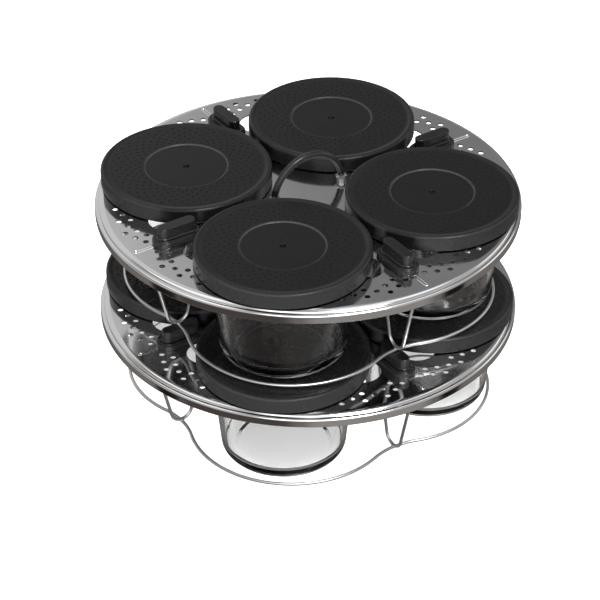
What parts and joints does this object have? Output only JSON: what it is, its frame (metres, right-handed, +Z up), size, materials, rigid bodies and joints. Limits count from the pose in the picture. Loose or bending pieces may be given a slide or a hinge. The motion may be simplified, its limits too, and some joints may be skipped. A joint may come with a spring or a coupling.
{
  "type": "stacking spice jar rack",
  "caption": "Round stacking rack in two tiers, with glass spice jars under black lids hung through steel trays on wavy wire feet, stacking posts and a loop handle.",
  "frame": {"origin": "centre of the surface that the lower foot ring stands on", "axes": "+Z up; the posts stand on the X and Y axes, the jars midway between them, and the loop handle lies along X"},
  "size_m": [0.3, 0.3, 0.1894],
  "materials": {
    "tray_steel": "polished stainless sheet, slightly satin",
    "bright_wire": "bright plated wire",
    "fixing_steel": "bright zinc-plated steel",
    "collar_steel": "bright, faceted",
    "post_plastic": "satin black moulded plastic",
    "lid_plastic": "matte black moulded plastic with fine dimples",
    "sleeve_plastic": "satin black tubing",
    "seal_silicone": "matte translucent white silicone",
    "jar_glass": "clear, smooth"
  },
  "bodies": {
    "lower_frame": {"lower_tray": "tray_steel", "lower_foot_ring": "bright_wire", "lower_leg_right": "bright_wire", "lower_leg_back": "bright_wire", "lower_leg_left": "bright_wire", "lower_leg_front": "bright_wire", "lower_post_right": "post_plastic", "lower_post_back": "post_plastic", "lower_post_left": "post_plastic", "lower_post_front": "post_plastic", "lower_post_screws": "fixing_steel", "lower_handle_wire": "fixing_steel", "lower_handle_sleeve": "sleeve_plastic", "lower_handle_collars": "collar_steel", "lower_handle_nuts": "fixing_steel"},
    "lower_jar_back_right": {"lower_jar_back_right": "jar_glass"},
    "lower_lid_back_right": {"lower_lid_back_right": "lid_plastic", "lower_seal_back_right": "seal_silicone"},
    "lower_jar_back_left": {"lower_jar_back_left": "jar_glass"},
    "lower_lid_back_left": {"lower_lid_back_left": "lid_plastic", "lower_seal_back_left": "seal_silicone"},
    "lower_jar_front_left": {"lower_jar_front_left": "jar_glass"},
    "lower_lid_front_left": {"lower_lid_front_left": "lid_plastic", "lower_seal_front_left": "seal_silicone"},
    "lower_jar_front_right": {"lower_jar_front_right": "jar_glass"},
    "lower_lid_front_right": {"lower_lid_front_right": "lid_plastic", "lower_seal_front_right": "seal_silicone"},
    "upper_frame": {"upper_tray": "tray_steel", "upper_foot_ring": "bright_wire", "upper_leg_right": "bright_wire", "upper_leg_back": "bright_wire", "upper_leg_left": "bright_wire", "upper_leg_front": "bright_wire", "upper_post_right": "post_plastic", "upper_post_back": "post_plastic", "upper_post_left": "post_plastic", "upper_post_front": "post_plastic", "upper_post_screws": "fixing_steel", "upper_handle_wire": "fixing_steel", "upper_handle_sleeve": "sleeve_plastic", "upper_handle_collars": "collar_steel", "upper_handle_nuts": "fixing_steel"},
    "upper_jar_back_right": {"upper_jar_back_right": "jar_glass"},
    "upper_lid_back_right": {"upper_lid_back_right": "lid_plastic", "upper_seal_back_right": "seal_silicone"},
    "upper_jar_back_left": {"upper_jar_back_left": "jar_glass"},
    "upper_lid_back_left": {"upper_lid_back_left": "lid_plastic", "upper_seal_back_left": "seal_silicone"},
    "upper_jar_front_left": {"upper_jar_front_left": "jar_glass"},
    "upper_lid_front_left": {"upper_lid_front_left": "lid_plastic", "upper_seal_front_left": "seal_silicone"},
    "upper_jar_front_right": {"upper_jar_front_right": "jar_glass"},
    "upper_lid_front_right": {"upper_lid_front_right": "lid_plastic", "upper_seal_front_right": "seal_silicone"}
  },
  "joints": [
    {"name": "upper_tier_lift", "type": "slide", "parent": "lower_frame", "child": "upper_frame", "axis": [0, 0, 1], "range_m": [0, 0.16]},
    {"name": "upper_jar_back_right_lift", "type": "slide", "parent": "upper_frame", "child": "upper_jar_back_right", "axis": [0, 0, 1], "range_m": [0, 0.09]},
    {"name": "upper_lid_back_right_pull", "type": "slide", "parent": "upper_jar_back_right", "child": "upper_lid_back_right", "axis": [0, 0, 1], "range_m": [0, 0.04]},
    {"name": "lower_jar_back_right_turn", "type": "hinge", "parent": "lower_frame", "child": "lower_jar_back_right", "pos_m": [0.06208, 0.06208, 0.07258], "axis": [0, 0, 1], "continuous": true},
    {"name": "lower_lid_back_right_turn", "type": "hinge", "parent": "lower_jar_back_right", "child": "lower_lid_back_right", "pos_m": [0.06208, 0.06208, 0.08258], "axis": [0, 0, 1], "continuous": true},
    {"name": "upper_jar_back_left_lift", "type": "slide", "parent": "upper_frame", "child": "upper_jar_back_left", "axis": [0, 0, 1], "range_m": [0, 0.09]},
    {"name": "upper_lid_back_left_pull", "type": "slide", "parent": "upper_jar_back_left", "child": "upper_lid_back_left", "axis": [0, 0, 1], "range_m": [0, 0.04]},
    {"name": "lower_jar_back_left_turn", "type": "hinge", "parent": "lower_frame", "child": "lower_jar_back_left", "pos_m": [-0.06208, 0.06208, 0.07258], "axis": [0, 0, 1], "continuous": true},
    {"name": "lower_lid_back_left_turn", "type": "hinge", "parent": "lower_jar_back_left", "child": "lower_lid_back_left", "pos_m": [-0.06208, 0.06208, 0.08258], "axis": [0, 0, 1], "continuous": true},
    {"name": "upper_jar_front_left_lift", "type": "slide", "parent": "upper_frame", "child": "upper_jar_front_left", "axis": [0, 0, 1], "range_m": [0, 0.09]},
    {"name": "upper_lid_front_left_pull", "type": "slide", "parent": "upper_jar_front_left", "child": "upper_lid_front_left", "axis": [0, 0, 1], "range_m": [0, 0.04]},
    {"name": "lower_jar_front_left_turn", "type": "hinge", "parent": "lower_frame", "child": "lower_jar_front_left", "pos_m": [-0.06208, -0.06208, 0.07258], "axis": [0, 0, 1], "continuous": true},
    {"name": "lower_lid_front_left_turn", "type": "hinge", "parent": "lower_jar_front_left", "child": "lower_lid_front_left", "pos_m": [-0.06208, -0.06208, 0.08258], "axis": [0, 0, 1], "continuous": true},
    {"name": "upper_jar_front_right_lift", "type": "slide", "parent": "upper_frame", "child": "upper_jar_front_right", "axis": [0, 0, 1], "range_m": [0, 0.09]},
    {"name": "upper_lid_front_right_pull", "type": "slide", "parent": "upper_jar_front_right", "child": "upper_lid_front_right", "axis": [0, 0, 1], "range_m": [0, 0.04]},
    {"name": "lower_jar_front_right_turn", "type": "hinge", "parent": "lower_frame", "child": "lower_jar_front_right", "pos_m": [0.06208, -0.06208, 0.07258], "axis": [0, 0, 1], "continuous": true},
    {"name": "lower_lid_front_right_turn", "type": "hinge", "parent": "lower_jar_front_right", "child": "lower_lid_front_right", "pos_m": [0.06208, -0.06208, 0.08258], "axis": [0, 0, 1], "continuous": true}
  ]
}
